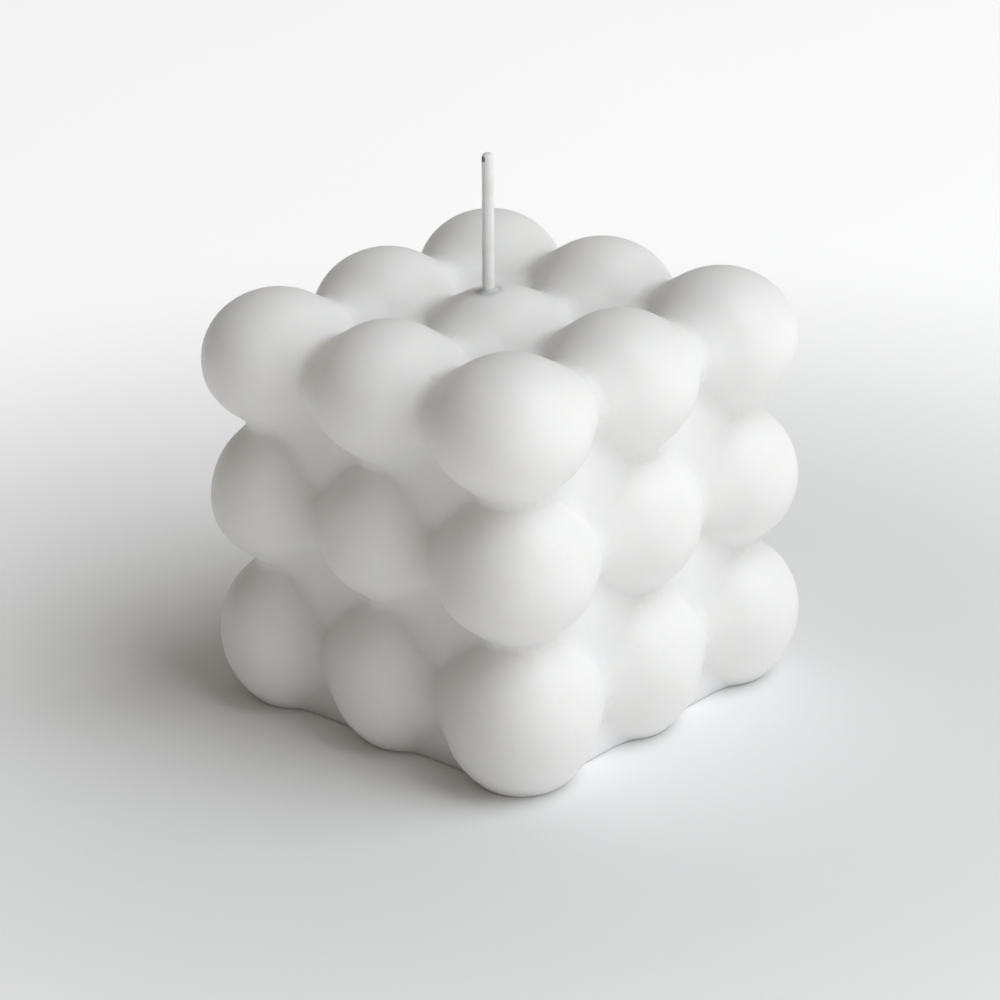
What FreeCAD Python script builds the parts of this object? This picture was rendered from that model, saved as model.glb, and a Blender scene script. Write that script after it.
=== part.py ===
import FreeCAD, Part
import itertools
import math
import os
import Sketcher

# Bubble cube candle.
# Wax bubbles stand in three layers of three by three and run into one another as one casting.
# Two bubbles side by side or one above the other meet in a neck whose flanks slope down to a crease.
# The middle is filled and the base is cut flat.
# A waxed cotton wick runs from the base up through the middle and stands out of the top.
# The origin lies in the middle of the base, with +Z up, and all sizes are in millimetres.

document = FreeCAD.newDocument("bubble_cube_candle")

# Driving dimensions
SIZES = [
    ("bubble_radius", 9.62, "radius of every bubble"),
    ("side_gap", 1.14, "between the rounds of two bubbles side by side"),
    ("layer_gap", 0.08, "between the rounds of two bubbles one above the other"),
    ("side_crease", 5.2, "radius of the neck in the crease between two bubbles side by side"),
    ("layer_crease", 4.1, "radius of the neck in the crease between two bubbles one above the other"),
    ("neck_bite", 0.12, "how far below the round of a bubble the flank of a neck starts"),
    ("middle_drop", 1.24, "how much lower the middle bubble of the top stands"),
    ("base_cut", 1.48, "what the flat base takes off the lowest bubbles"),
    ("core_cover", 3.8, "how far the filled middle reaches past the outer bubble centres"),
    ("rim_radius", 0.4, "rounding of the edge of the base"),
    ("wick_diameter", 1.6, "waxed wick"),
    ("wick_clearance", 0.02, "between the wick and its bore, all round"),
    ("wick_exposed", 18.1, "height of the wick above the wax"),
    ("wick_recess", 0.3, "how far above the base the wick ends"),
    ("wick_offset", 1.2, "how far the wick stands off the middle, away from its lean"),
    ("wick_lean", 1.9, "lean of the standing wick, in degrees"),
    ("wick_turn", 45.0, "direction of that lean about the upright axis, in degrees"),
    ("wick_bend", 25.0, "radius of the gentle bend where the lean starts"),
    ("tip_radius", 0.55, "rounding of the wick's tip"),
    ("collar_rise", 0.35, "height of the wax drawn up round the wick"),
    ("collar_rim", 0.12, "thickness of that wax at its upper edge"),
]

sheet = document.addObject("Spreadsheet::Sheet", "Sizes")
for row, (alias, value, meaning) in enumerate(SIZES, start=1):
    sheet.set("A%d" % row, alias)
    sheet.set("B%d" % row, str(value))
    sheet.set("C%d" % row, meaning)
    sheet.setAlias("B%d" % row, alias)
document.recompute()

# Bubbles along each edge of the cube, and the places of the middle and the top one
COUNT = 3
MIDDLE = COUNT // 2
TOP = COUNT - 1

# Centre to centre of two bubbles side by side, and of two one above the other
BUBBLE_PITCH = "(2 * Sizes.bubble_radius + Sizes.side_gap)"
LAYER_PITCH = "(2 * Sizes.bubble_radius + Sizes.layer_gap)"
bubble_pitch = 2 * sheet.bubble_radius + sheet.side_gap
layer_pitch = 2 * sheet.bubble_radius + sheet.layer_gap

# Height of the lowest bubble centres above the base
FLOOR = "(Sizes.bubble_radius - Sizes.base_cut)"
floor = sheet.bubble_radius - sheet.base_cut

# Height of the top of the middle bubble, where the wick comes out
WICK_EXIT = "(%s + %d * %s - Sizes.middle_drop + Sizes.bubble_radius)" % (FLOOR, TOP, LAYER_PITCH)
wick_exit = floor + TOP * layer_pitch - sheet.middle_drop + sheet.bubble_radius

# Where the wick stands, off the middle and away from its lean
WICK_X = "(-Sizes.wick_offset * cos(Sizes.wick_turn * 1 deg))"
WICK_Y = "(-Sizes.wick_offset * sin(Sizes.wick_turn * 1 deg))"

# Points this close to the base plane lie on it
ON_BASE = 0.01


def origin_plane(body, role):
    """The body's own origin plane with this role, such as XY_Plane."""
    for feature in body.Origin.OriginFeatures:
        if feature.Role == role:
            return feature
    raise ValueError("no plane " + role)


def new_sketch(body, name, role):
    """An empty sketch of the body on one of its origin planes."""
    sketch = body.newObject("Sketcher::SketchObject", name)
    sketch.AttachmentSupport = [(origin_plane(body, role), "")]
    sketch.MapMode = "FlatFace"
    return sketch


def drive(sketch, expression, *constraint):
    """Adds a constraint whose size follows an expression."""
    index = sketch.addConstraint(Sketcher.Constraint(*constraint))
    sketch.setExpression("Constraints[%d]" % index, expression)


def draw_outline(sketch, points):
    """Draws a closed outline of straight lines, joined end to end."""
    corners = [FreeCAD.Vector(across, up, 0) for across, up in points]
    count = len(corners)
    for number, corner in enumerate(corners):
        sketch.addGeometry(Part.LineSegment(corner, corners[(number + 1) % count]), False)
    for number in range(count):
        sketch.addConstraint(Sketcher.Constraint("Coincident", number, 2, (number + 1) % count, 1))


def draw_circle(sketch, radius, expression):
    """Draws a circle about the sketch's own origin."""
    circle = Part.Circle(FreeCAD.Vector(0, 0, 0), FreeCAD.Vector(0, 0, 1), radius)
    sketch.addGeometry(circle, False)
    sketch.addConstraint(Sketcher.Constraint("Coincident", 0, 3, -1, 1))
    drive(sketch, expression, "Radius", 0, radius)


def add_core(name, cover_x, cover_y, cover_z):
    """A block of the filled middle, which reaches past the outer bubble centres by these covers."""
    block = document.addObject("Part::Box", name)
    half_x = "(%d * %s + %s)" % (MIDDLE, BUBBLE_PITCH, cover_x)
    half_y = "(%d * %s + %s)" % (MIDDLE, BUBBLE_PITCH, cover_y)
    block.setExpression("Length", "2 * " + half_x)
    block.setExpression("Width", "2 * " + half_y)
    block.setExpression("Height", "%s + %d * %s + %s" % (FLOOR, TOP, LAYER_PITCH, cover_z))
    block.setExpression("Placement.Base.x", "-" + half_x)
    block.setExpression("Placement.Base.y", "-" + half_y)
    return block


def centre(column, row, layer):
    """The centre of a bubble, as expressions; the middle one of the top stands lower."""
    height = "%s + %d * %s" % (FLOOR, layer, LAYER_PITCH)
    if (column, row, layer) == (MIDDLE, MIDDLE, TOP):
        height += " - Sizes.middle_drop"
    across = "%d * %s" % (column - MIDDLE, BUBBLE_PITCH)
    deep = "%d * %s" % (row - MIDDLE, BUBBLE_PITCH)
    return across, deep, height


def add_bubble(column, row, layer):
    """One round bubble of the grid, counted from the front left corner of the base."""
    bubble = document.addObject("Part::Sphere", "bubble_%d_%d_%d" % (column, row, layer))
    bubble.setExpression("Radius", "Sizes.bubble_radius")
    for axis, expression in zip("xyz", centre(column, row, layer)):
        bubble.setExpression("Placement.Base." + axis, expression)
    return bubble


def draw_neck(name, pitch, pitch_expression, crease_size):
    """Half the section of a neck along X, between a bubble at the origin and the next one.

    Each flank starts just below the round of its bubble, where it touches a smaller circle.
    """
    sketch = document.addObject("Sketcher::SketchObject", name)
    reach = sheet.bubble_radius - sheet.neck_bite
    middle = pitch / 2
    crease = sheet.get(crease_size)
    slope = math.atan2(crease, middle) + math.acos(reach / math.hypot(middle, crease))
    start = reach * math.cos(slope)
    width = reach * math.sin(slope)
    end = pitch - start
    draw_outline(sketch, [(start, 0), (start, width), (middle, crease), (end, width), (end, 0)])
    sketch.addGeometry(Part.Circle(FreeCAD.Vector(0, 0, 0), FreeCAD.Vector(0, 0, 1), reach), True)
    sketch.addConstraint(Sketcher.Constraint("PointOnObject", 0, 1, -1))
    sketch.addConstraint(Sketcher.Constraint("PointOnObject", 4, 1, -1))
    sketch.addConstraint(Sketcher.Constraint("Vertical", 0))
    sketch.addConstraint(Sketcher.Constraint("Vertical", 3))
    sketch.addConstraint(Sketcher.Constraint("Horizontal", 1, 1, 2, 2))
    sketch.addConstraint(Sketcher.Constraint("Equal", 1, 2))
    drive(sketch, pitch_expression + " / 2", "DistanceX", -1, 1, 1, 2, middle)
    drive(sketch, "Sizes." + crease_size, "DistanceY", -1, 1, 1, 2, crease)
    sketch.addConstraint(Sketcher.Constraint("Coincident", 5, 3, -1, 1))
    drive(sketch, "Sizes.bubble_radius - Sizes.neck_bite", "Radius", 5, reach)
    sketch.addConstraint(Sketcher.Constraint("Tangent", 1, 1, 5))
    return sketch


def add_neck(name, section, start, yaw, pitch):
    """A neck turned from its section, from the start bubble in the direction of these angles."""
    angles = "rotation(%s; %s; 0)" % (yaw, pitch)
    neck = document.addObject("Part::Revolution", name)
    neck.Source = section
    neck.Axis = FreeCAD.Vector(1, 0, 0)
    neck.Base = FreeCAD.Vector(0, 0, 0)
    neck.Angle = 360
    neck.Solid = True
    neck.setExpression("Placement", "placement(vector(%s; %s; %s); %s)" % (*start, angles))
    return neck


def add_necks():
    """The necks between bubbles that are next to each other, save those to the hidden middle one."""
    side = draw_neck("side_neck_section", bubble_pitch, BUBBLE_PITCH, "side_crease")
    layer = draw_neck("layer_neck_section", layer_pitch, LAYER_PITCH, "layer_crease")
    hidden = (MIDDLE, MIDDLE, MIDDLE)
    lowered = (MIDDLE, MIDDLE, TOP)
    rise = "atan(Sizes.middle_drop / %s)" % BUBBLE_PITCH
    necks = []
    for place in itertools.product(range(COUNT), repeat=3):
        for section, step, yaw, pitch in (
            (side, (1, 0, 0), "0", "0"),
            (side, (0, 1, 0), "90", "0"),
            (layer, (0, 0, 1), "0", "-90"),
        ):
            end = tuple(here + there for here, there in zip(place, step))
            if max(end) > TOP or hidden in (place, end):
                continue
            if lowered == end:
                pitch = rise
            if lowered == place:
                pitch = "-" + rise
            name = "neck_%d_%d_%d_to_%d_%d_%d" % (*place, *end)
            necks.append(add_neck(name, section, centre(*place), yaw, pitch))
    return necks


def add_cluster():
    """The filled middle, every bubble that shows and the necks between them, run together."""
    cover = "Sizes.core_cover"
    pieces = [
        add_core("core_across", cover, "0", "0"),
        add_core("core_deep", "0", cover, "0"),
        add_core("core_upright", "0", "0", cover),
    ]
    for place in itertools.product(range(COUNT), repeat=3):
        if place != (MIDDLE, MIDDLE, MIDDLE):
            pieces.append(add_bubble(*place))
    cluster = document.addObject("Part::MultiFuse", "bubble_cluster")
    cluster.Shapes = pieces + add_necks()
    cluster.Refine = True
    return cluster


def cut_flat_base(body):
    """Takes off what the lowest bubbles have below the base."""
    sketch = new_sketch(body, "base_outline", "XY_Plane")
    reach = 2 * bubble_pitch
    draw_outline(sketch, [(-reach, -reach), (reach, -reach), (reach, reach), (-reach, reach)])
    for line in (0, 2):
        sketch.addConstraint(Sketcher.Constraint("Horizontal", line))
    for line in (1, 3):
        sketch.addConstraint(Sketcher.Constraint("Vertical", line))
    sketch.addConstraint(Sketcher.Constraint("Symmetric", 0, 1, 1, 2, -1, 1))
    for line in (0, 1):
        drive(sketch, "4 * " + BUBBLE_PITCH, "Distance", line, 2 * reach)
    flat = body.newObject("PartDesign::Pocket", "flat_base")
    flat.Profile = sketch
    flat.setExpression("Length", "Sizes.bubble_radius")
    return flat


def base_edges(shape):
    """Names the edges between the base and the faces round it."""
    names = []
    for number, edge in enumerate(shape.Edges, start=1):
        lies_on_base = max(vertex.Z for vertex in edge.Vertexes) < ON_BASE
        if lies_on_base and len(shape.ancestorsOfType(edge, Part.Face)) == 2:
            names.append("Edge%d" % number)
    return names


def round_base(body, last):
    """Rounds the edge of the base."""
    rounding = body.newObject("PartDesign::Fillet", "base_rim")
    rounding.Base = (last, base_edges(last.Shape))
    rounding.setExpression("Radius", "Sizes.rim_radius")
    return rounding


def add_collar(body):
    """The little wax that is drawn up round the wick where it leaves the top."""
    rise = sheet.collar_rise
    rim = sheet.wick_diameter / 2 + sheet.collar_rim
    foot = rim + rise
    sketch = new_sketch(body, "collar_section", "XZ_Plane")
    sketch.setExpression("AttachmentOffset.Base.x", WICK_X)
    sketch.setExpression("AttachmentOffset.Base.z", "-" + WICK_Y)
    corners = [
        FreeCAD.Vector(0, wick_exit + rise, 0),
        FreeCAD.Vector(rim, wick_exit + rise, 0),
        FreeCAD.Vector(foot, wick_exit, 0),
        FreeCAD.Vector(foot, wick_exit - rise, 0),
        FreeCAD.Vector(0, wick_exit - rise, 0),
    ]
    hollow = Part.Circle(FreeCAD.Vector(foot, wick_exit + rise, 0), FreeCAD.Vector(0, 0, 1), rise)
    sketch.addGeometry(Part.LineSegment(corners[0], corners[1]), False)
    sketch.addGeometry(Part.ArcOfCircle(hollow, math.pi, 1.5 * math.pi), False)
    sketch.addGeometry(Part.LineSegment(corners[2], corners[3]), False)
    sketch.addGeometry(Part.LineSegment(corners[3], corners[4]), False)
    sketch.addGeometry(Part.LineSegment(corners[4], corners[0]), False)
    for number in range(5):
        sketch.addConstraint(Sketcher.Constraint("Coincident", number, 2, (number + 1) % 5, 1))
    for line in (0, 3):
        sketch.addConstraint(Sketcher.Constraint("Horizontal", line))
    for line in (2, 4):
        sketch.addConstraint(Sketcher.Constraint("Vertical", line))
    sketch.addConstraint(Sketcher.Constraint("PointOnObject", 4, 1, -2))
    drive(sketch, "Sizes.wick_diameter / 2 + Sizes.collar_rim", "DistanceX", 0, 1, 0, 2, rim)
    drive(sketch, "Sizes.collar_rise", "Radius", 1, rise)
    drive(sketch, "Sizes.collar_rise", "DistanceX", 1, 1, 1, 2, rise)
    drive(sketch, "Sizes.collar_rise", "DistanceY", 1, 2, 1, 1, rise)
    drive(sketch, "Sizes.collar_rise", "DistanceY", 2, 2, 2, 1, rise)
    drive(sketch, WICK_EXIT, "DistanceY", -1, 1, 1, 2, wick_exit)
    collar = body.newObject("PartDesign::Revolution", "wick_collar")
    collar.Profile = sketch
    collar.ReferenceAxis = (sketch, ["V_Axis"])
    collar.Angle = 360
    return collar


def cut_wick_bore(body):
    """The bore that the wick fills, from the base to the top."""
    sketch = new_sketch(body, "bore_outline", "XY_Plane")
    sketch.setExpression("AttachmentOffset.Base.x", WICK_X)
    sketch.setExpression("AttachmentOffset.Base.y", WICK_Y)
    radius = sheet.wick_diameter / 2 + sheet.wick_clearance
    draw_circle(sketch, radius, "Sizes.wick_diameter / 2 + Sizes.wick_clearance")
    bore = body.newObject("PartDesign::Pocket", "wick_bore")
    bore.Profile = sketch
    bore.Type = "ThroughAll"
    bore.Reversed = True
    return bore


def add_wax_body():
    """The cast wax, with its flat base, collar and wick bore."""
    cluster = add_cluster()
    document.recompute()
    body = document.addObject("PartDesign::Body", "wax_body")
    body.BaseFeature = cluster
    document.recompute()
    flat = cut_flat_base(body)
    document.recompute()
    round_base(body, flat)
    add_collar(body)
    cut_wick_bore(body)
    document.recompute()
    return body


def draw_wick_line(sketch):
    """The line that the wick follows: upright in the wax, then a gentle bend into the lean."""
    lean = math.radians(sheet.wick_lean)
    bend_height = wick_exit + sheet.collar_rise
    bend_centre = FreeCAD.Vector(sheet.wick_bend, bend_height, 0)
    bend = Part.Circle(bend_centre, FreeCAD.Vector(0, 0, 1), sheet.wick_bend)
    start = FreeCAD.Vector(0, sheet.wick_recess, 0)
    bend_start = FreeCAD.Vector(0, bend_height, 0)
    turned = FreeCAD.Vector(-math.cos(lean), math.sin(lean), 0)
    bend_end = bend_centre + turned * sheet.wick_bend
    rest = (wick_exit + sheet.wick_exposed - bend_end.y) / math.cos(lean)
    tip = bend_end + FreeCAD.Vector(math.sin(lean), math.cos(lean), 0) * rest
    sketch.addGeometry(Part.LineSegment(start, bend_start), False)
    sketch.addGeometry(Part.ArcOfCircle(bend, math.pi - lean, math.pi), False)
    sketch.addGeometry(Part.LineSegment(bend_end, tip), False)
    sketch.addConstraint(Sketcher.Constraint("Vertical", 0))
    sketch.addConstraint(Sketcher.Constraint("PointOnObject", 0, 1, -2))
    sketch.addConstraint(Sketcher.Constraint("Tangent", 0, 2, 1, 2))
    sketch.addConstraint(Sketcher.Constraint("Tangent", 1, 1, 2, 1))
    drive(sketch, "Sizes.wick_recess", "DistanceY", -1, 1, 0, 1, start.y)
    drive(sketch, WICK_EXIT + " + Sizes.collar_rise", "DistanceY", -1, 1, 0, 2, bend_height)
    drive(sketch, "Sizes.wick_bend", "Radius", 1, sheet.wick_bend)
    drive(sketch, "90 deg - Sizes.wick_lean * 1 deg", "Angle", 2, math.pi / 2 - lean)
    drive(sketch, WICK_EXIT + " + Sizes.wick_exposed", "DistanceY", -1, 1, 2, 2, tip.y)


def add_wick():
    """The waxed wick, a round cord with a rounded tip."""
    body = document.addObject("PartDesign::Body", "wick")
    section = new_sketch(body, "wick_section", "XY_Plane")
    section.setExpression("AttachmentOffset.Base.z", "Sizes.wick_recess")
    draw_circle(section, sheet.wick_diameter / 2, "Sizes.wick_diameter / 2")
    line = new_sketch(body, "wick_line", "XZ_Plane")
    draw_wick_line(line)
    document.recompute()
    cord = body.newObject("PartDesign::AdditivePipe", "wick_cord")
    cord.Profile = section
    cord.Spine = line
    document.recompute()
    ends = [edge for edge in cord.Shape.Edges if len(cord.Shape.ancestorsOfType(edge, Part.Face)) == 2]
    upper_end = max(ends, key=lambda edge: edge.CenterOfMass.z)
    number = [edge.isSame(upper_end) for edge in cord.Shape.Edges].index(True) + 1
    tip = body.newObject("PartDesign::Fillet", "wick_tip")
    tip.Base = (cord, ["Edge%d" % number])
    tip.setExpression("Radius", "Sizes.tip_radius")
    body.Placement.Rotation = FreeCAD.Rotation(FreeCAD.Vector(0, 0, 1), sheet.wick_turn)
    body.setExpression("Placement.Rotation.Angle", "Sizes.wick_turn * 1 deg")
    body.setExpression("Placement.Base.x", WICK_X)
    body.setExpression("Placement.Base.y", WICK_Y)
    document.recompute()
    return body


def check(pieces):
    """Stops if a feature failed, or if a piece isn't one sound solid."""
    for feature in document.Objects:
        if "Invalid" in feature.State or "Error" in feature.State:
            raise RuntimeError("%s failed: %s" % (feature.Label, feature.State))
    for piece in pieces:
        if piece.Shape.isNull() or not piece.Shape.isValid() or len(piece.Shape.Solids) != 1:
            raise RuntimeError("%s is not one sound solid" % piece.Label)


pieces = [add_wax_body(), add_wick()]
check(pieces)
os.makedirs("parts", exist_ok=True)
for piece in pieces:
    piece.Shape.exportStep("parts/%s.step" % piece.Label)
    print("%s: %.0f cubic millimetres" % (piece.Label, piece.Shape.Volume))
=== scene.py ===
"""Bubble cube candle: cast wax bubbles and a waxed wick on a plain pale floor."""
import logging
import math
from dataclasses import dataclass
from enum import Enum
from typing import Dict, List, Optional, Sequence, Tuple, Union

import bmesh
import bpy
import numpy as np
from mathutils import Matrix, Vector


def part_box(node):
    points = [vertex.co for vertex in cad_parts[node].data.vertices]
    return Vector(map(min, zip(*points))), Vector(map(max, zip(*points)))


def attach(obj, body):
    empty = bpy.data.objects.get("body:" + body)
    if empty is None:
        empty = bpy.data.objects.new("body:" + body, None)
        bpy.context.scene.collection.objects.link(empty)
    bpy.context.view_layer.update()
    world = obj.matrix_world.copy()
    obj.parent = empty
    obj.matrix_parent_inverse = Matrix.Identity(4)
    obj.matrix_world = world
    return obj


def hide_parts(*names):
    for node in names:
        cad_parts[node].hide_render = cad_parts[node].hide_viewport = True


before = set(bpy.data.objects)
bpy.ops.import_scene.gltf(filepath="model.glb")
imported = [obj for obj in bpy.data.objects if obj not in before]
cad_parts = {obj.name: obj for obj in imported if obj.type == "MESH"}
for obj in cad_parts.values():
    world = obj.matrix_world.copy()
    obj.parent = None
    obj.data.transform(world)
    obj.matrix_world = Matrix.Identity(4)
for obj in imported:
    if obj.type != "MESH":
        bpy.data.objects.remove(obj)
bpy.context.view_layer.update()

MM = 0.001
WICK_OFFSET = 1.2 * MM
WICK_RADIUS = 0.8 * MM
WAX_REFRACTION = 1.44
TINY = 1e-9
MIX_FACTOR, MIX_FIRST, MIX_SECOND, MIX_COLOUR = 0, 6, 7, 2
Colour = Tuple[float, float, float, float]
Number = Union[int, float]
log = logging.getLogger("bubble_candle")


class Sum(Enum):
    """The sums that the finishes do with numbers."""

    ADD = "ADD"
    SUBTRACT = "SUBTRACT"
    MULTIPLY = "MULTIPLY"


class Softbox(Enum):
    """The soft lights round the table."""

    KEY = "key"
    OVERHEAD = "overhead"


class Wire:
    """One output socket, on which Python's own operators add Math nodes."""

    def __init__(self, recipe: "Recipe", socket: bpy.types.NodeSocket) -> None:
        """Keeps the recipe that the socket belongs to.

        Args:
            recipe: The finish whose nodes the sums are added to.
            socket: The output socket.
        """
        self.recipe = recipe
        self.socket = socket

    def __add__(self, other: Union["Wire", Number]) -> "Wire":
        """This plus the other."""
        return self.recipe.sum(Sum.ADD, self, other)

    def __radd__(self, other: Number) -> "Wire":
        """The other plus this."""
        return self.recipe.sum(Sum.ADD, other, self)

    def __sub__(self, other: Union["Wire", Number]) -> "Wire":
        """This less the other."""
        return self.recipe.sum(Sum.SUBTRACT, self, other)

    def __rsub__(self, other: Number) -> "Wire":
        """The other less this."""
        return self.recipe.sum(Sum.SUBTRACT, other, self)

    def __mul__(self, other: Union["Wire", Number]) -> "Wire":
        """This times the other."""
        return self.recipe.sum(Sum.MULTIPLY, self, other)

    def __rmul__(self, other: Number) -> "Wire":
        """The other times this."""
        return self.recipe.sum(Sum.MULTIPLY, other, self)


Value = Union[Wire, Number, Sequence[float]]


class Recipe:
    """A set of nodes: its coordinates, and the patterns and mixtures that follow them."""

    def __init__(self, owner: Union[bpy.types.Material, bpy.types.World], coordinates: str) -> None:
        """Starts with no nodes but the coordinates.

        Args:
            owner: The material or world that the nodes belong to.
            coordinates: The name of the coordinates that its patterns follow.
        """
        owner.use_nodes = True
        self.owner = owner
        self.tree = owner.node_tree
        self.tree.nodes.clear()
        self.place = self.node("ShaderNodeTexCoord", output=coordinates)

    def node(
        self,
        kind: str,
        settings: Optional[Dict[str, object]] = None,
        inputs: Optional[Dict[Union[str, int], Value]] = None,
        output: Union[str, int] = 0,
    ) -> Wire:
        """Adds a node, its settings first and then its sockets.

        Args:
            kind: The node's type.
            settings: The node's own properties.
            inputs: The value or wire of each socket, by name or number.
            output: The output socket to give back.

        Returns:
            The chosen output as a wire.
        """
        made = self.tree.nodes.new(kind)
        for name, setting in (settings or {}).items():
            setattr(made, name, setting)
        for name, value in (inputs or {}).items():
            if isinstance(value, Wire):
                self.tree.links.new(value.socket, made.inputs[name])
            else:
                made.inputs[name].default_value = value
        return Wire(self, made.outputs[output])

    def sum(self, step: Sum, first: Value, second: Value) -> Wire:
        """One sum of two numbers."""
        return self.node("ShaderNodeMath", {"operation": step.value}, {0: first, 1: second})

    def mix(self, factor: Value, first: Value, second: Value) -> Wire:
        """Mixes two colours.

        Args:
            factor: How much of the second colour shows.
            first: The colour at nought.
            second: The colour at one.

        Returns:
            The mixed colour.
        """
        settings = {"data_type": "RGBA", "clamp_factor": True}
        inputs = {MIX_FACTOR: factor, MIX_FIRST: first, MIX_SECOND: second}
        return self.node("ShaderNodeMix", settings, inputs, MIX_COLOUR)

    def cloud(self, scale: float, detail: float = 2.0, roughness: float = 0.5) -> Wire:
        """Soft seeded unevenness that fills space.

        Args:
            scale: Patches in each metre.
            detail: Finer layers on top of the first.
            roughness: How strong the finer layers are.

        Returns:
            A value that wanders about a half.
        """
        inputs = {"Vector": self.place, "Scale": scale, "Detail": detail, "Roughness": roughness}
        return self.node("ShaderNodeTexNoise", None, inputs, "Fac")

    def band(self, value: Value, low: float, high: float) -> Wire:
        """A soft step from nought at low to one at high.

        Args:
            value: What is compared.
            low: Where the step starts.
            high: Where the step ends.

        Returns:
            The step, between nought and one.
        """
        settings = {"interpolation_type": "SMOOTHSTEP"}
        inputs = {"Value": value, "From Min": low, "From Max": high}
        return self.node("ShaderNodeMapRange", settings, inputs, "Result")

    def away_from(self, point: Sequence[float]) -> Wire:
        """The distance from a point, in metres."""
        ends = {0: self.place, 1: point}
        return self.node("ShaderNodeVectorMath", {"operation": "DISTANCE"}, ends, "Value")

    def relief(self, height: Wire, depth: float, below: Optional[Wire] = None) -> Wire:
        """Turns a height into a bump.

        Args:
            height: The height, from nought to one.
            depth: What a height of one stands for, in metres.
            below: A bump that this one lies on.

        Returns:
            The bumped normal.
        """
        inputs: Dict[Union[str, int], Value] = {"Height": height, "Distance": depth, "Strength": 1.0}
        if below is not None:
            inputs["Normal"] = below
        return self.node("ShaderNodeBump", None, inputs, "Normal")

    def end(self, kind: str, shader: Wire) -> None:
        """Wires a shader to the closing node.

        Args:
            kind: The closing node's type.
            shader: The shader.
        """
        closing = self.tree.nodes.new(kind)
        self.tree.links.new(shader.socket, closing.inputs["Surface"])


class FinishRecipe(Recipe):
    """The nodes of one finish, from its coordinates to its surface."""

    def __init__(self, name: str) -> None:
        """Starts an empty finish.

        Args:
            name: The finish's name.
        """
        super().__init__(bpy.data.materials.new(name), "Object")

    def close(self, surface: Dict[Union[str, int], Value]) -> bpy.types.Material:
        """Ends the finish in one surface.

        Args:
            surface: The value or wire of each socket of the surface shader.

        Returns:
            The finished material.
        """
        shader = self.node("ShaderNodeBsdfPrincipled", None, surface, "BSDF")
        self.end("ShaderNodeOutputMaterial", shader)
        return self.owner


class SkyRecipe(Recipe):
    """The nodes of the light that comes from all round."""

    def __init__(self, name: str) -> None:
        """Starts an empty sky.

        Args:
            name: The name of its world.
        """
        super().__init__(bpy.data.worlds.new(name), "Generated")

    def toward(self, direction: Vector) -> Wire:
        """How far each part of the sky lies in a direction, from minus one to one."""
        pair = {0: self.place, 1: direction}
        return self.node("ShaderNodeVectorMath", {"operation": "DOT_PRODUCT"}, pair, "Value")

    def shine(self, colour: Wire) -> bpy.types.World:
        """Ends the sky in one light.

        Args:
            colour: How much light comes from each side.

        Returns:
            The world with its light.
        """
        light = self.node("ShaderNodeBackground", None, {"Color": colour, "Strength": 1.0})
        self.end("ShaderNodeOutputWorld", light)
        return self.owner


@dataclass(frozen=True)
class SatinWax:
    """White candle wax as it leaves its mould: satin, and cloudy just under the skin."""

    clear: Colour = (0.900, 0.893, 0.880, 1.0)
    cloudy: Colour = (0.868, 0.858, 0.842, 1.0)
    gloss: float = 0.40
    dulled: float = 0.10
    glow: float = 0.62
    glow_reach: Tuple[float, float, float] = (3.6 * MM, 3.1 * MM, 2.6 * MM)
    patch_scale: float = 95.0
    patch_band: Tuple[float, float] = (0.35, 0.68)
    patch_share: float = 0.55
    speck_scale: float = 1400.0
    speck_band: Tuple[float, float] = (0.52, 0.70)
    speck_share: float = 0.25
    speck_dulling: float = 0.03
    dull_scale: float = 420.0
    swell_scale: float = 210.0
    swell_depth: float = 0.05 * MM
    skin_scale: float = 3200.0
    skin_depth: float = 0.012 * MM

    def material(self) -> bpy.types.Material:
        """Mixes the wax.

        Returns:
            The wax finish.
        """
        recipe = FinishRecipe("satin_wax")
        patches = recipe.band(recipe.cloud(self.patch_scale, detail=3.0), *self.patch_band)
        specks = recipe.band(recipe.cloud(self.speck_scale), *self.speck_band)
        clouded = patches * self.patch_share + specks * self.speck_share
        colour = recipe.mix(clouded, self.clear, self.cloudy)
        worn = recipe.cloud(self.dull_scale, detail=3.0)
        dull = self.gloss + self.dulled * worn + self.speck_dulling * specks
        swell = recipe.relief(recipe.cloud(self.swell_scale, detail=1.0), self.swell_depth)
        skin = recipe.relief(recipe.cloud(self.skin_scale), self.skin_depth, swell)
        return recipe.close({
            "Base Color": colour,
            "Roughness": dull,
            "Normal": skin,
            "IOR": WAX_REFRACTION,
            "Subsurface Weight": self.glow,
            "Subsurface Radius": self.glow_reach,
            "Subsurface Scale": 1.0,
        })


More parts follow.
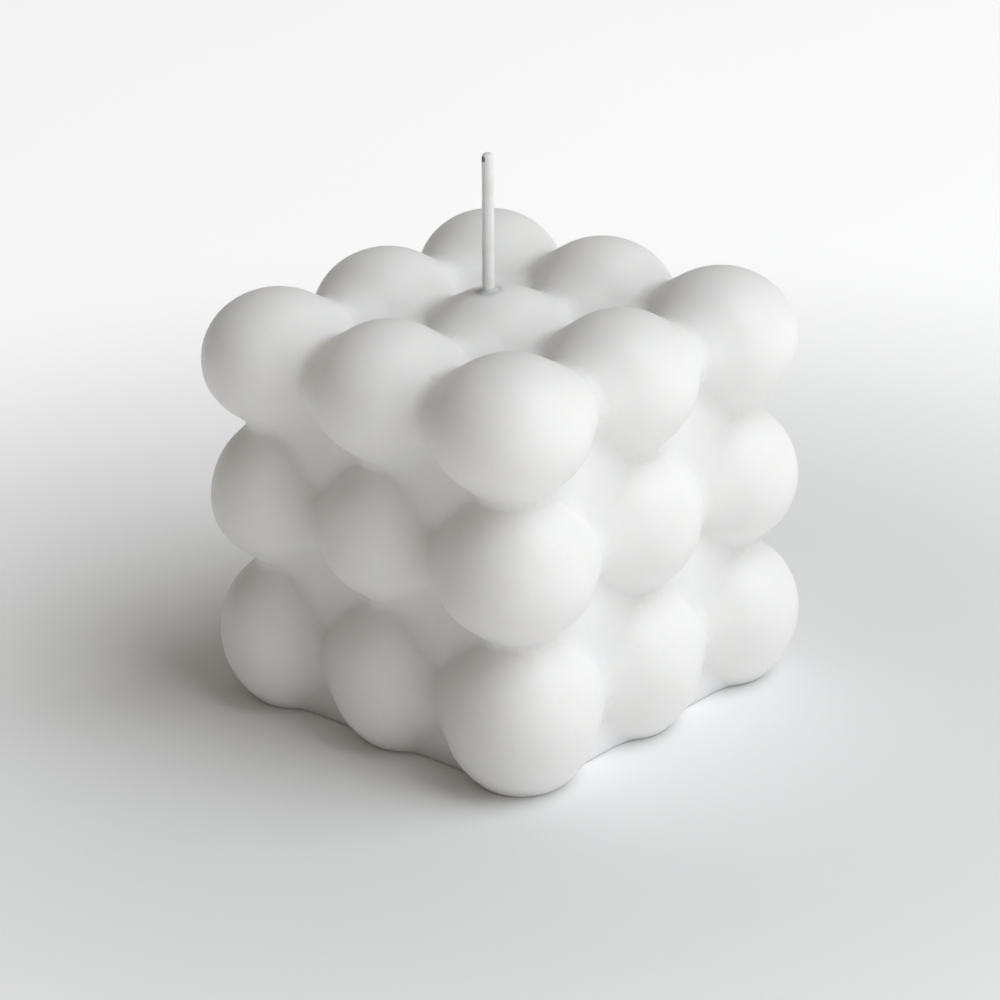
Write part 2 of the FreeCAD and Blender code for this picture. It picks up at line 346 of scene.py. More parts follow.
@dataclass(frozen=True)
class WaxedCotton:
    """Braided cotton soaked in wax, with a darker, duller patch near its tip."""

    coat: Colour = (0.885, 0.880, 0.868, 1.0)
    cotton: Colour = (0.790, 0.778, 0.755, 1.0)
    dark_patch: Colour = (0.200, 0.185, 0.155, 1.0)
    gloss: float = 0.34
    glow: float = 0.25
    glow_reach: Tuple[float, float, float] = (0.6 * MM, 0.5 * MM, 0.4 * MM)
    thin_scale: float = 520.0
    thin_band: Tuple[float, float] = (0.50, 0.74)
    thin_share: float = 0.55
    thin_dulling: float = 0.14
    fibre_scale: float = 5200.0
    fibre_depth: float = 0.02 * MM
    dark_band: Tuple[float, float] = (0.75, 1.1)
    dark_dulling: float = 0.4
    ragged_edge: float = 0.5

    def material(self, cut: Vector, reach: float) -> bpy.types.Material:
        """Mixes the waxed cotton.

        Args:
            cut: The middle of the dark patch near the wick's tip.
            reach: The patch's radius.

        Returns:
            The wick's finish.
        """
        recipe = FinishRecipe("waxed_cotton")
        thin_coat = recipe.band(recipe.cloud(self.thin_scale, detail=3.0), *self.thin_band)
        fibres = recipe.cloud(self.fibre_scale, roughness=0.6)
        coated = recipe.mix(thin_coat * self.thin_share, self.coat, self.cotton)
        # Darker and duller within a round patch with a ragged edge, about the given middle.
        edge = recipe.away_from(tuple(cut)) + (fibres - 0.5) * (self.ragged_edge * reach)
        within, beyond = self.dark_band
        darkened = 1.0 - recipe.band(edge, within * reach, beyond * reach)
        colour = recipe.mix(darkened, coated, self.dark_patch)
        dull = self.gloss + self.thin_dulling * thin_coat + self.dark_dulling * darkened
        return recipe.close({
            "Base Color": colour,
            "Roughness": dull,
            "Normal": recipe.relief(fibres, self.fibre_depth),
            "IOR": WAX_REFRACTION,
            "Subsurface Weight": self.glow,
            "Subsurface Radius": self.glow_reach,
            "Subsurface Scale": 1.0,
        })


@dataclass(frozen=True)
class PaleTable:
    """The plain pale surface that the candle stands on, with a painted glow that grows with the distance
    from the candle and leaves a painted shade round its foot.
    """

    colour: Colour = (0.93, 0.93, 0.93, 1.0)
    worn: Colour = (0.91, 0.91, 0.91, 1.0)
    # Painted light: the glow's colour round the candle, black, so that a painted shade stays at the foot.
    no_glow: Colour = (0.0, 0.0, 0.0, 1.0)
    patch_scale: float = 6.0
    dullness: float = 0.75
    # Painted light: how strongly the table glows, and the distances from the candle over which the glow
    # rises from nothing to full.
    lift: float = 0.42
    glow_band: Tuple[float, float] = (35.0 * MM, 190.0 * MM)

    def material(self) -> bpy.types.Material:
        """Mixes the table's matt paint and its painted glow.

        Returns:
            The table's finish.
        """
        recipe = FinishRecipe("pale_table")
        colour = recipe.mix(recipe.cloud(self.patch_scale), self.colour, self.worn)
        # Painted light: the table glows more the farther it is from the candle, and round the candle it
        # stays darker as a painted shade.
        spread = recipe.band(recipe.away_from((0.0, 0.0, 0.0)), *self.glow_band)
        return recipe.close({
            "Base Color": colour,
            "Roughness": self.dullness,
            "Emission Color": recipe.mix(spread, self.no_glow, colour),
            "Emission Strength": self.lift,
        })


def new_piece(name: str, mesh: bpy.types.Mesh, finish: bpy.types.Material) -> bpy.types.Object:
    """Puts a mesh in the scene with its finish.

    Args:
        name: The piece's name.
        mesh: Its mesh, in metres and in the candle's own frame.
        finish: Its material.

    Returns:
        The piece.
    """
    mesh.materials.clear()
    mesh.materials.append(finish)
    piece = bpy.data.objects.new(name, mesh)
    bpy.context.scene.collection.objects.link(piece)
    log.info("%s: %d faces", name, len(mesh.polygons))
    return piece


def tube_mesh(name: str, rings: np.ndarray) -> bpy.types.Mesh:
    """Skins a row of rings and closes both ends.

    Args:
        name: The mesh's name.
        rings: Points of shape (rings, points in each ring, 3).

    Returns:
        The closed tube.
    """
    shaped = bmesh.new()
    loops = [[shaped.verts.new(point) for point in ring] for ring in rings]
    count = len(loops[0])
    for lower, upper in zip(loops, loops[1:]):
        for number in range(count):
            after = (number + 1) % count
            shaped.faces.new((lower[number], lower[after], upper[after], upper[number]))
    for loop, step in ((loops[0], -1), (loops[-1], 1)):
        shaped.faces.new(loop[::step])
    for face in shaped.faces:
        face.smooth = True
    mesh = bpy.data.meshes.new(name)
    shaped.to_mesh(mesh)
    shaped.free()
    return mesh


@dataclass
class CastWax:
    """The casting: bubbles joined by sloping necks round a filled middle, and cut flat below.

    The form is worked out as an even block of round bubbles about its own middle, and then settled:
    the lowest bubbles are stretched downwards, the highest are flattened, the level creases rise a
    little, most of all at the front, and the middle bubble of the top sinks.
    Every bubble of the block is alike, so a point is looked at in the first eighth of its own bubble,
    where only three necks can start. A plane half way to each next bubble stands for its mirror image.
    The block is filled on downwards, as if one more layer stood below, and the base cuts that off.
    """

    bubble_radius: float = 9.986 * MM
    layer_pitch: float = 19.42 * MM
    layers: Tuple[float, float, float] = (9.58 * MM, 28.31 * MM, 47.40 * MM)
    lower_half: float = 11.32 * MM
    side_crease: float = 5.35 * MM
    layer_crease: float = 4.23 * MM
    crease_lift: float = 0.5 * MM
    lift_slant: float = 0.8
    middle_drop: float = 1.25 * MM
    core_cover: float = 3.8 * MM
    crease_ball: float = 0.6 * MM
    pit_ball: float = 2.2 * MM
    pit_reach: Tuple[float, float] = (3.5 * MM, 8.5 * MM)
    rim: float = 0.4 * MM
    bore_radius: float = 0.82 * MM
    bore_depth: float = 1.2 * MM
    grain: float = 0.58 * MM
    unevenness: float = 0.035 * MM
    swell_range: Tuple[float, float] = (7 * MM, 16 * MM)
    swells: int = 9
    seed: int = 7
    around: int = 96
    fineness: int = 5
    pushes: int = 14
    least_turn: float = 0.02
    rounds: int = 3
    start_depth: float = 0.3 * MM
    rim_steps: Tuple[float, float, float] = (0.12, 0.4, 1.0)
    bore_sides: int = 32

    def __post_init__(self) -> None:
        """Works out the grid of bubbles from the box of the wax."""
        low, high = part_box("wax_body")
        side = (high.x - low.x) / 2 - self.bubble_radius
        self.pitch = np.array([side, side, self.layer_pitch])
        self.creases = np.array([self.side_crease, self.side_crease, self.layer_crease])
        half = self.pitch / 2
        reach = np.hypot(half, self.creases)
        self.slope = np.arctan2(self.creases, half) + np.arccos(self.bubble_radius / reach)
        upper_half = high.z - self.layers[2]
        self.heights = (self.layers[0] - self.lower_half, *self.layers, self.layers[2] + upper_half)
        end = self.layer_pitch + self.bubble_radius
        self.levels = (-end, -self.layer_pitch, 0.0, self.layer_pitch, end)

    def rough_form(self) -> bpy.types.Mesh:
        """Joins plain bubbles, necks and the core, and covers them with one even skin.

        Returns:
            The skin, with the creases still blunt.
        """
        shaped = bmesh.new()
        quarter = math.pi / 2
        turns = (Matrix.Rotation(quarter, 4, "Y"), Matrix.Rotation(-quarter, 4, "X"), Matrix.Identity(4))
        steps = (-1, 0, 1)
        for place in [(x, y, z) for z in steps for y in steps for x in steps]:
            centre = self.pitch * place
            spot = Matrix.Translation(centre)
            bmesh.ops.create_icosphere(
                shaped, subdivisions=self.fineness, radius=self.bubble_radius, matrix=spot
            )
            for axis, turn in enumerate(turns):
                for side in (-1, 1):
                    if abs(place[axis] + side) <= 1 or (axis == 2 and side < 0):
                        self.add_flank(shaped, centre, axis, side, turn)
        for axis in range(3):
            reach = self.pitch + np.eye(3)[axis] * self.core_cover
            depth = reach[2] - self.levels[0]
            block = Matrix.Translation((0, 0, self.levels[0] + depth / 2))
            block = block @ Matrix.Diagonal((2 * reach[0], 2 * reach[1], depth, 1.0))
            bmesh.ops.create_cube(shaped, size=1.0, matrix=block)
        mesh = bpy.data.meshes.new("rough_wax")
        shaped.to_mesh(mesh)
        shaped.free()
        piece = bpy.data.objects.new("rough_wax", mesh)
        bpy.context.scene.collection.objects.link(piece)
        skin = piece.modifiers.new("skin", "REMESH")
        skin.mode = "VOXEL"
        skin.voxel_size = self.grain
        evaluated = piece.evaluated_get(bpy.context.evaluated_depsgraph_get())
        skinned = bpy.data.meshes.new_from_object(evaluated)
        bpy.data.objects.remove(piece)
        return skinned

    def add_flank(
        self, shaped: bmesh.types.BMesh, centre: np.ndarray, axis: int, side: int, turn: Matrix
    ) -> None:
        """Adds the half of a neck that belongs to one bubble.

        Args:
            shaped: The mesh that it goes into.
            centre: The bubble's middle.
            axis: The axis that the neck follows.
            side: Its direction on that axis, one or minus one.
            turn: What turns a cone from the upright onto that axis.
        """
        slope, half = self.slope[axis], self.pitch[axis] / 2
        start = self.bubble_radius * math.cos(slope)
        wide, narrow = self.bubble_radius * math.sin(slope), self.creases[axis]
        offset = np.eye(3)[axis] * side * (start + half) / 2
        ends = (wide, narrow) if side > 0 else (narrow, wide)
        matrix = Matrix.Translation(centre + offset) @ turn
        bmesh.ops.create_cone(
            shaped,
            cap_ends=True,
            segments=self.around,
            radius1=ends[0],
            radius2=ends[1],
            depth=half - start,
            matrix=matrix,
        )

    def limits(
        self, ball: np.ndarray, joined: np.ndarray, radius: np.ndarray
    ) -> Tuple[np.ndarray, np.ndarray]:
        """How far a ball is from every surface that it mustn't enter.

        Args:
            ball: The ball's middle, from its bubble's middle and in the first eighth.
            joined: For each axis, whether a next bubble stands that way.
            radius: The ball's radius.

        Returns:
            What each clearance lacks and the direction to push in, with shapes (points, limits)
            and (points, limits, 3).
        """
        count = len(ball)
        far = -1.0
        length = np.linalg.norm(ball, axis=1)
        lacks = [radius + self.bubble_radius - length]
        pushes = [ball / np.maximum(length, TINY)[:, None]]
        for axis in range(3):
            along = np.eye(3)[axis]
            out = ball * (1 - along)
            across = np.linalg.norm(out, axis=1)
            cos_s, sin_s = math.cos(self.slope[axis]), math.sin(self.slope[axis])
            on_flank = joined[:, axis] & (ball[:, axis] * sin_s > across * cos_s)
            gap = ball[:, axis] * cos_s + across * sin_s - self.bubble_radius
            lacks.append(np.where(on_flank, radius - gap, far))
            pushes.append(along * cos_s + out / np.maximum(across, TINY)[:, None] * sin_s)
            lacks.append(np.where(joined[:, axis], ball[:, axis] - self.pitch[axis] / 2, far))
            pushes.append(np.broadcast_to(-along, (count, 3)))
            others = [other for other in range(3) if other != axis]
            faced = ~joined[:, axis] & joined[:, others[0]] & joined[:, others[1]]
            lacks.append(np.where(faced, radius + self.core_cover - ball[:, axis], far))
            pushes.append(np.broadcast_to(along, (count, 3)))
        return np.stack(lacks, axis=1), np.stack(pushes, axis=1)

    def push_out(self, ball: np.ndarray, joined: np.ndarray, radius: np.ndarray) -> np.ndarray:
        """Pushes each ball out of the two surfaces that it is deepest in, by the shortest way.

        Args:
            ball: The ball's middle, as for the limits.
            joined: For each axis, whether a next bubble stands that way.
            radius: The ball's radius.

        Returns:
            The middles after one push.
        """
        rows = np.arange(len(ball))
        lacks, pushes = self.limits(ball, joined, radius)
        first = np.argmax(lacks, axis=1)
        most, toward = lacks[rows, first], pushes[rows, first]
        most = np.maximum(most, 0.0)
        shared = np.einsum("nij,nj->ni", pushes, toward)
        left = lacks - shared * most[:, None]
        left[rows, first] = -1.0
        second = np.argmax(left, axis=1)
        rest, alike = left[rows, second], shared[rows, second]
        more = np.maximum(rest, 0.0) / np.maximum(1 - alike ** 2, self.least_turn)
        kept = np.maximum(most - alike * more, 0.0)
        return ball + toward * kept[:, None] + pushes[rows, second] * more[:, None]

    def roll_creases(self, points: np.ndarray) -> np.ndarray:
        """Lays the skin on the wax, with each crease as a small ball rolled along it leaves it.

        Args:
            points: The skin's points, near the surface.

        Returns:
            The points on the finished surface.
        """
        place = np.clip(np.round(points / self.pitch), -1, 1)
        local = points - place * self.pitch
        side = np.where(local < 0, -1.0, 1.0)
        folded = np.abs(local)
        joined = place * side < 1
        joined[:, 2] |= side[:, 2] < 0
        radius = self.ball_size(folded, joined)
        length = np.linalg.norm(folded, axis=1)
        sunk = folded * (1 - self.start_depth / np.maximum(length, MM))[:, None]
        ball = sunk + 0.0
        for _ in range(self.pushes):
            ball = self.push_out(ball, joined, radius)
        inward = sunk - ball
        reach = np.maximum(np.linalg.norm(inward, axis=1), TINY)
        laid = ball + inward * (radius / reach)[:, None]
        return laid * side + place * self.pitch

    def ball_size(self, folded: np.ndarray, joined: np.ndarray) -> np.ndarray:
        """The ball that rounds each place: small in the creases, large in the pits between four bubbles.

        Args:
            folded: The points from their bubble's middle, in the first eighth.
            joined: For each axis, whether a next bubble stands that way.

        Returns:
            The ball's radius at each point.
        """
        size = np.full(len(folded), self.crease_ball)
        near, far = self.pit_reach
        for axis in range(3):
            others = [other for other in range(3) if other != axis]
            faced = ~joined[:, axis] & joined[:, others[0]] & joined[:, others[1]]
            away = np.linalg.norm(folded[:, others] - self.pitch[others] / 2, axis=1)
            share = np.clip((far - away) / (far - near), 0.0, 1.0)
            share = share * share * (3 - 2 * share)
            size = np.where(faced, size + (self.pit_ball - self.crease_ball) * share, size)
        return size

    def settle(self, points: np.ndarray) -> np.ndarray:
        """Turns points of the even block into those of the real casting.

        Args:
            points: Points of the even block.

        Returns:
            The same points of the casting, with the middle bubble of the top sunk.
        """
        offset = points / self.pitch
        creased = np.where(np.abs(offset[:, 2]) < 1, np.sin(offset[:, 2] * math.pi) ** 2, 0.0)
        lift = self.crease_lift * creased * (1 - self.lift_slant * np.clip(offset[:, 1], -1.0, 1.0))
        across = np.cos(np.clip(offset[:, :2], -1.0, 1.0) * math.pi / 2) ** 2
        height = np.clip(2 * offset[:, 2] - 1, 0.0, 1.0)
        share = across[:, 0] * across[:, 1] * height * height * (3 - 2 * height)
        settled = points + 0.0
        settled[:, 2] = np.interp(points[:, 2], self.levels, self.heights) + lift - self.middle_drop * share
        return settled

    def top_height(self, across: float, deep: float) -> float:
        """The height of the middle bubble's surface over a place near its middle."""
        up = math.sqrt(self.bubble_radius ** 2 - across ** 2 - deep ** 2)
        settled = self.settle(np.array([[across, deep, self.layer_pitch + up]]))
        return float(settled[0, 2] - self.uneven(settled)[0])

    def relax(self, points: np.ndarray, edges: np.ndarray) -> np.ndarray:
        """Moves each point half way to the middle of its neighbours.

        Args:
            points: The skin's points.
            edges: The pairs of neighbours.

        Returns:
            The evened points.
        """
        total = np.zeros_like(points)
        count = np.zeros(len(points))
        for first, second in ((0, 1), (1, 0)):
            np.add.at(total, edges[:, first], points[edges[:, second]])
            np.add.at(count, edges[:, first], 1.0)
        return 0.5 * points + 0.5 * total / count[:, None]

    def uneven(self, points: np.ndarray) -> np.ndarray:
        """How far each point lies below the perfect form, as on a casting.

        Args:
            points: The skin's points.

        Returns:
            The depth at each point, never less than nought.
        """
        rng = np.random.default_rng(self.seed)
        waves = rng.normal(size=(self.swells, 3))
        spans = rng.uniform(*self.swell_range, self.swells)
        waves *= (2 * math.pi / spans / np.linalg.norm(waves, axis=1))[:, None]
        height = np.sin(points @ waves.T + rng.uniform(0, 2 * math.pi, self.swells)).mean(axis=1)
        return self.unevenness * (0.5 + 0.5 * np.clip(2 * height, -1, 1))

    def form(self) -> bpy.types.Mesh:
        """Builds the skin of the whole casting, down past the base.

        Returns:
            The skin on the finished surface.
        """
        mesh = self.rough_form()
        points = np.empty(len(mesh.vertices) * 3)
        mesh.vertices.foreach_get("co", points)
        points = points.reshape(-1, 3)
        edges = np.empty(len(mesh.edges) * 2, dtype=np.int64)
        mesh.edges.foreach_get("vertices", edges)
        edges = edges.reshape(-1, 2)
        points = self.roll_creases(points)
        for _ in range(self.rounds):
            points = self.roll_creases(self.relax(points, edges))
        points = self.settle(points)
        mesh.vertices.foreach_set("co", points.ravel())
        mesh.update()
        normals = np.empty(len(mesh.vertices) * 3)
        mesh.vertices.foreach_get("normal", normals)
        points -= normals.reshape(-1, 3) * self.uneven(points)[:, None]
        mesh.vertices.foreach_set("co", points.ravel())
        mesh.update()
        return mesh

    def cut_base(self, mesh: bpy.types.Mesh, stand: Vector) -> None:
        """Cuts the base flat, rounds its rim, and opens the end of the wick's bore.

        Args:
            mesh: The skin of the casting.
            stand: Where the wick stands.
        """
        shaped = bmesh.new()
        shaped.from_mesh(mesh)
        for face in shaped.faces:
            face.smooth = True
        up = (0, 0, 1)
        whole = shaped.verts[:] + shaped.edges[:] + shaped.faces[:]
        bmesh.ops.bisect_plane(shaped, geom=whole, plane_co=(0, 0, 0), plane_no=up, clear_inner=True)
        for share in self.rim_steps:
            whole = shaped.verts[:] + shaped.edges[:] + shaped.faces[:]
            bmesh.ops.bisect_plane(shaped, geom=whole, plane_co=(0, 0, share * self.rim), plane_no=up)
        shaped.normal_update()
        for vertex in shaped.verts:
            if vertex.co.z < self.rim:
                drop = min(self.rim - vertex.co.z, self.rim)
                inward = self.rim - math.sqrt(self.rim ** 2 - drop ** 2)
                flat = Vector((vertex.normal.x, vertex.normal.y, 0.0)).normalized()
                vertex.co -= flat * inward
        rim_edges = [edge for edge in shaped.edges if edge.is_boundary]
        place = Matrix.Translation(stand)
        circle = bmesh.ops.create_circle(
            shaped, segments=self.bore_sides, radius=self.bore_radius, matrix=place
        )
        bore = circle["verts"]
        bore_edges = list(dict.fromkeys(edge for vertex in bore for edge in vertex.link_edges))
        bmesh.ops.triangle_fill(shaped, use_beauty=True, edges=rim_edges + bore_edges, normal=(0, 0, -1))
        deepened = bmesh.ops.extrude_edge_only(shaped, edges=bore_edges)["geom"]
        raised = [part for part in deepened if isinstance(part, bmesh.types.BMVert)]
        bmesh.ops.translate(shaped, verts=raised, vec=(0, 0, self.bore_depth))
        bmesh.ops.contextual_create(shaped, geom=[e for e in deepened if isinstance(e, bmesh.types.BMEdge)])
        shaped.to_mesh(mesh)
        shaped.free()

    def build(self, wax: bpy.types.Material, stand: Vector) -> bpy.types.Object:
        """Builds and dresses the casting.

        Args:
            wax: The wax finish.
            stand: Where the wick stands.

        Returns:
            The casting, in place of the plain one.
        """
        mesh = self.form()
        self.cut_base(mesh, stand)
        piece = new_piece("cast_wax", mesh, wax)
        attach(piece, "root")
        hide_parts("wax_body")
        return piece


@dataclass
class WaxCollar:
    """The little wax that is drawn up round the wick where it leaves the middle bubble."""

    casting: CastWax
    stand: Vector
    lip: float = 0.12 * MM
    rise: float = 0.35 * MM
    spread: float = 0.8 * MM
    overlap: float = 0.01 * MM
    root: Tuple[float, float] = (0.5 * MM, 0.9 * MM)
    brim_rise: float = 0.03 * MM
    flare: float = 3.2
    seat: float = 0.004 * MM
    wobble: float = 0.12
    wobble_turn: float = 0.6
    around: int = 72
    steps: int = 12

    def section(self, angle: float) -> List[Tuple[float, float, float]]:
        """The collar's section on one side of the wick.

        Args:
            angle: The direction from the wick.

        Returns:
            Its points, from under the wax up the wick and out to the bubble.
        """
        turn = Vector((math.cos(angle), math.sin(angle), 0.0))
        wave = math.sin(2 * angle + self.wobble_turn) * math.cos(angle)
        rise = self.rise * (1 - self.wobble + self.wobble * wave)
        inner = WICK_RADIUS - self.overlap
        brim = WICK_RADIUS + self.lip
        outs = [brim + self.spread, inner, inner, 0.5 * (inner + brim)]
        rises = [-self.root[0], -self.root[1], rise, rise + self.brim_rise]
        for step in range(self.steps + 1):
            share = step / self.steps
            outs.append(brim + self.spread * share)
            rises.append(rise * (1 - share) ** self.flare - self.seat)
        points = []
        for out, up in zip(outs, rises):
            spot = self.stand + turn * out
            points.append((spot.x, spot.y, self.casting.top_height(spot.x, spot.y) + up))
        return points

    def build(self, wax: bpy.types.Material) -> bpy.types.Object:
        """Builds and dresses the collar.

        Args:
            wax: The wax finish.

        Returns:
            The collar.
        """
        angles = np.linspace(0, 2 * math.pi, self.around, endpoint=False)
        sections = [self.section(angle) for angle in angles]
        rings = np.array(sections).transpose(1, 0, 2)
        shaped = bmesh.new()
        loops = [[shaped.verts.new(point) for point in ring] for ring in rings]
        for lower, upper in zip(loops, loops[1:] + loops[:1]):
            for number in range(self.around):
                after = (number + 1) % self.around
                face = shaped.faces.new((lower[number], upper[number], upper[after], lower[after]))
                face.smooth = True
        bmesh.ops.recalc_face_normals(shaped, faces=shaped.faces[:])
        mesh = bpy.data.meshes.new("wax_collar")
        shaped.to_mesh(mesh)
        shaped.free()
        piece = new_piece("wax_collar", mesh, wax)
        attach(piece, "root")
        return piece


@dataclass
class WaxedWick:
    """The wick: a braid under a coat of wax, upright in the candle and leaning a little above it."""

    bend_height: float
    stand: Vector
    radius: float = WICK_RADIUS
    lean: float = math.radians(1.9)
    turn: float = math.radians(45.0)
    bend_radius: float = 25.0 * MM
    braid_pitch: float = 3.4 * MM
    braid_depth: float = 0.045 * MM
    coat_wave: float = 2.3 * MM
    coat_share: Tuple[float, float] = (0.55, 0.45)
    coat_sway: float = 1.3
    coat_turn: float = 0.8
    lump: float = 0.03 * MM
    lump_wave: float = 1.1 * MM
    lump_start: float = 2.0
    lump_turn: float = 3.1 * MM
    cap: float = 0.6 * MM
    cap_steps: int = 9
    cap_end: float = 0.997
    cap_share: float = 0.86
    cut_below: float = 0.75 * MM
    cut_out: float = 0.62 * MM
    cut_aside: float = 0.25 * MM
    dark_patch_reach: float = 0.42 * MM
    tip_gap: float = 0.01 * MM
    around: int = 48
    step: float = 0.16 * MM

    def __post_init__(self) -> None:
        """Takes the wick's ends from its own box."""
        low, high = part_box("wick")
        self.foot = low.z
        self.tip = high.z - self.tip_gap
        self.side = Vector((math.cos(self.turn), math.sin(self.turn), 0.0))
        bent = self.bend_radius * math.sin(self.lean)
        upper = (self.tip - self.bend_height - bent) / math.cos(self.lean)
        self.lengths = (self.bend_height - self.foot, self.bend_radius * self.lean, upper)

    def axis(self, along: float) -> Tuple[Vector, Vector]:
        """The wick's middle line.

        Args:
            along: Length from the foot.

        Returns:
            The point there and the direction upwards along the wick.
        """
        straight, bend, _ = self.lengths
        angle = min(max((along - straight) / self.bend_radius, 0.0), self.lean)
        out = self.bend_radius * (1 - math.cos(angle))
        height = self.foot + min(along, straight) + self.bend_radius * math.sin(angle)
        rest = max(along - straight - bend, 0.0)
        direction = self.side * math.sin(angle) + Vector((0, 0, math.cos(angle)))
        point = self.stand + self.side * out + Vector((0, 0, height)) + direction * rest
        return point, direction

    def thickness(self, along: float, angle: float) -> float:
        """The wick's radius at a point of its skin.

        Args:
            along: Length from the foot.
            angle: Direction round the wick.

        Returns:
            The radius, never more than the plain wick's.
        """
        twist = 2 * math.pi * along / self.braid_pitch
        strands = math.cos(3 * angle + twist) * math.cos(3 * angle - twist)
        mean, swing = self.coat_share
        sway = self.coat_sway * math.sin(angle + self.coat_turn)
        coat = mean + swing * math.sin(along / self.coat_wave + sway)
        turned = math.cos(angle - along / self.lump_turn)
        lump = 0.5 + 0.5 * math.sin(along / self.lump_wave + self.lump_start) * turned
        return self.radius - self.braid_depth * coat * (0.5 - 0.5 * strands) - self.lump * lump

    def skin(self) -> np.ndarray:
        """The rings of the wick's skin.

        Returns:
            Points of shape (rings, points in each ring, 3).
        """
        total = sum(self.lengths)
        count = int(total / self.step)
        stations = list(np.linspace(0.0, total - self.cap, count))
        turns = np.linspace(0.0, math.pi / 2, self.cap_steps)[1:-1]
        ends = [math.sin(turn) for turn in turns] + [self.cap_end]
        stations += [total - self.cap + self.cap * end for end in ends]
        across = Vector((-self.side.y, self.side.x, 0.0))
        rings = []
        for along in stations:
            point, direction = self.axis(along)
            forward = across.cross(direction)
            rounded = max(along - (total - self.cap), 0.0) / self.cap
            squeeze = 1 - (1 - math.sqrt(max(1 - rounded ** 2, 0.0))) * self.cap_share
            ring = []
            for number in range(self.around):
                angle = 2 * math.pi * number / self.around
                reach = self.thickness(along, angle) * squeeze
                ring.append(tuple(point + (forward * math.cos(angle) + across * math.sin(angle)) * reach))
            rings.append(ring)
        return np.array(rings)

    def build(self, finish: WaxedCotton) -> bpy.types.Object:
        """Builds and dresses the wick.

        Args:
            finish: The waxed cotton.

        Returns:
            The wick, in place of the plain one.
        """
        # The wick's finish is darker and duller in a patch near the tip, on the side away from the lean.
        near_tip, _ = self.axis(sum(self.lengths) - self.cut_below)
        cut = near_tip - self.side * self.cut_out + Vector((self.cut_aside, -self.cut_aside, 0.0))
        dressing = finish.material(cut, self.dark_patch_reach)
        piece = new_piece("waxed_wick", tube_mesh("waxed_wick", self.skin()), dressing)
        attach(piece, "root")
        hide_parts("wick")
        return piece


@dataclass
class PhotoCamera:
    """A camera where the photograph was taken from."""

    azimuth: float = math.radians(43.157)
    elevation: float = math.radians(22.723)
    roll: float = math.radians(2.160)
    distance: float = 442.17 * MM
    across: float = 0.670 * MM
    above: float = 2.093 * MM
    target_height: float = 28.31 * MM
    lens: float = 122.18
    sensor: float = 36.0
    nearest: float = 0.01

    def axes(self) -> Tuple[Vector, Vector, Vector]:
        """The directions right, up and back of the view.

        Returns:
            Three unit directions in the candle's frame.
        """
        sin_a, cos_a = math.sin(self.azimuth), math.cos(self.azimuth)
        sin_e, cos_e = math.sin(self.elevation), math.cos(self.elevation)
        back = Vector((sin_a * cos_e, -cos_a * cos_e, sin_e))
        level = Vector((cos_a, sin_a, 0.0))
        upright = back.cross(level)
        right = level * math.cos(self.roll) - upright * math.sin(self.roll)
        up = level * math.sin(self.roll) + upright * math.cos(self.roll)
        return right, up, back

    def build(self) -> bpy.types.Object:
        """Places the camera.

        Returns:
            The scene's camera.
        """
        right, up, back = self.axes()
        target = Vector((0, 0, self.target_height))
        place = target + back * self.distance - right * self.across - up * self.above
        data = bpy.data.cameras.new("photo_camera")
        data.lens = self.lens
        data.sensor_width = self.sensor
        data.clip_start = self.nearest
        camera = bpy.data.objects.new("photo_camera", data)
        turned = Matrix((right, up, back)).transposed().to_4x4()
        camera.matrix_world = Matrix.Translation(place) @ turned
        bpy.context.scene.collection.objects.link(camera)
        bpy.context.scene.camera = camera
        log.info("%s: %.0f mm lens", camera.name, data.lens)
        return camera


@dataclass(frozen=True)
class Lamp:
    """One soft light: where it stands from the candle, how large it is and how strong."""

    right: float
    up: float
    back: float
    width: float
    power: float
    colour: Tuple[float, float, float] = (1.0, 1.0, 1.0)


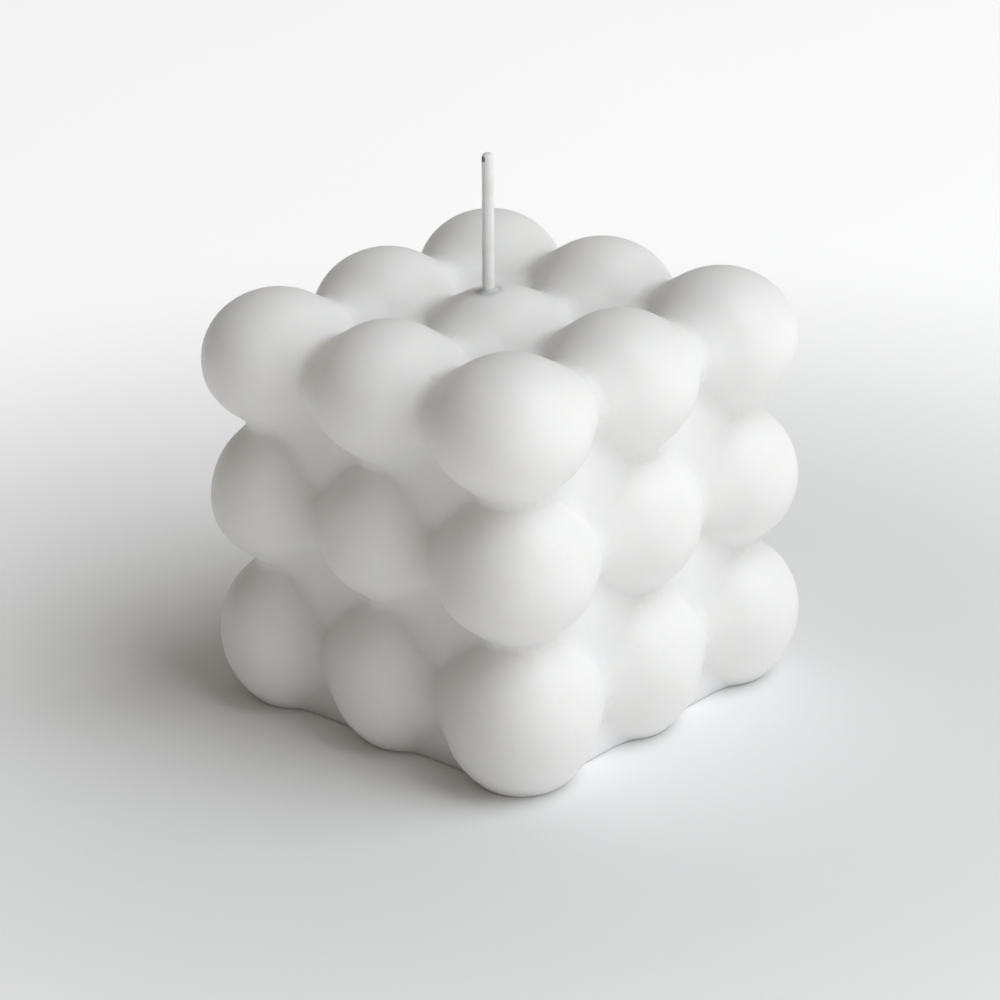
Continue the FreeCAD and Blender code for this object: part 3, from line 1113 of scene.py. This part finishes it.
@dataclass
class Studio:
    """The pale table and the soft light round it."""

    camera: PhotoCamera
    reach: float = 6.0
    table_sides: int = 96
    dim_side: Colour = (0.095, 0.080, 0.060, 1.0)
    bright_side: Colour = (0.400, 0.388, 0.370, 1.0)

    def lamps(self) -> Dict[Softbox, Lamp]:
        """The softboxes, placed from the camera's own directions.

        Returns:
            Each light by its role.
        """
        return {
            Softbox.KEY: Lamp(
                right=1.74, up=0.75, back=1.62, width=2.0, power=13.2, colour=(0.96, 1.0, 1.04)
            ),
            Softbox.OVERHEAD: Lamp(
                right=1.25, up=2.11, back=0.50, width=2.0, power=30.5, colour=(0.95, 1.0, 1.05)
            ),
        }

    def hang(self, role: Softbox, lamp: Lamp) -> None:
        """Hangs one softbox, turned to the candle.

        Args:
            role: The light's role.
            lamp: Its place, size and strength.
        """
        middle = Vector((0, 0, self.camera.target_height))
        sin_a, cos_a = math.sin(self.camera.azimuth), math.cos(self.camera.azimuth)
        level, away = Vector((cos_a, sin_a, 0.0)), Vector((sin_a, -cos_a, 0.0))
        offset = level * lamp.right + Vector((0, 0, lamp.up)) + away * lamp.back
        data = bpy.data.lights.new(role.value, "AREA")
        data.shape = "DISK"
        data.size = lamp.width
        data.energy = lamp.power
        data.color = lamp.colour
        light = bpy.data.objects.new(role.value, data)
        light.location = middle + offset
        light.rotation_euler = offset.to_track_quat("Z", "Y").to_euler()
        bpy.context.scene.collection.objects.link(light)
        log.info("%s light: %.1f W", role.value, lamp.power)

    def lay_table(self) -> None:
        """Lays the table, a wide disc under the base."""
        shaped = bmesh.new()
        bmesh.ops.create_circle(shaped, cap_ends=True, segments=self.table_sides, radius=self.reach)
        mesh = bpy.data.meshes.new("pale_table")
        shaped.to_mesh(mesh)
        shaped.free()
        table = new_piece("pale_table", mesh, PaleTable().material())

    def build(self) -> None:
        """Lays the table, hangs the lights and sets the daylight."""
        self.lay_table()
        for role, lamp in self.lamps().items():
            self.hang(role, lamp)
        sky = SkyRecipe("daylight")
        level = Vector((math.cos(self.camera.azimuth), math.sin(self.camera.azimuth), 0.0))
        side = sky.band(sky.toward(level), -1.0, 1.0)
        bpy.context.scene.world = sky.shine(sky.mix(side, self.dim_side, self.bright_side))
        bpy.context.scene.view_settings.view_transform = "Standard"


def main() -> None:
    """Builds the candle, the camera and the studio, in that order."""
    logging.basicConfig(level=logging.INFO, format="%(message)s")
    camera = PhotoCamera()
    camera.build()
    wax = SatinWax().material()
    casting = CastWax()
    stand = Vector((-1.0, -1.0, 0.0)).normalized() * WICK_OFFSET
    casting.build(wax, stand)
    collar = WaxCollar(casting, stand)
    collar.build(wax)
    WaxedWick(casting.top_height(stand.x, stand.y) + collar.rise, stand).build(WaxedCotton())
    Studio(camera).build()


if __name__ == "__main__":
    main()
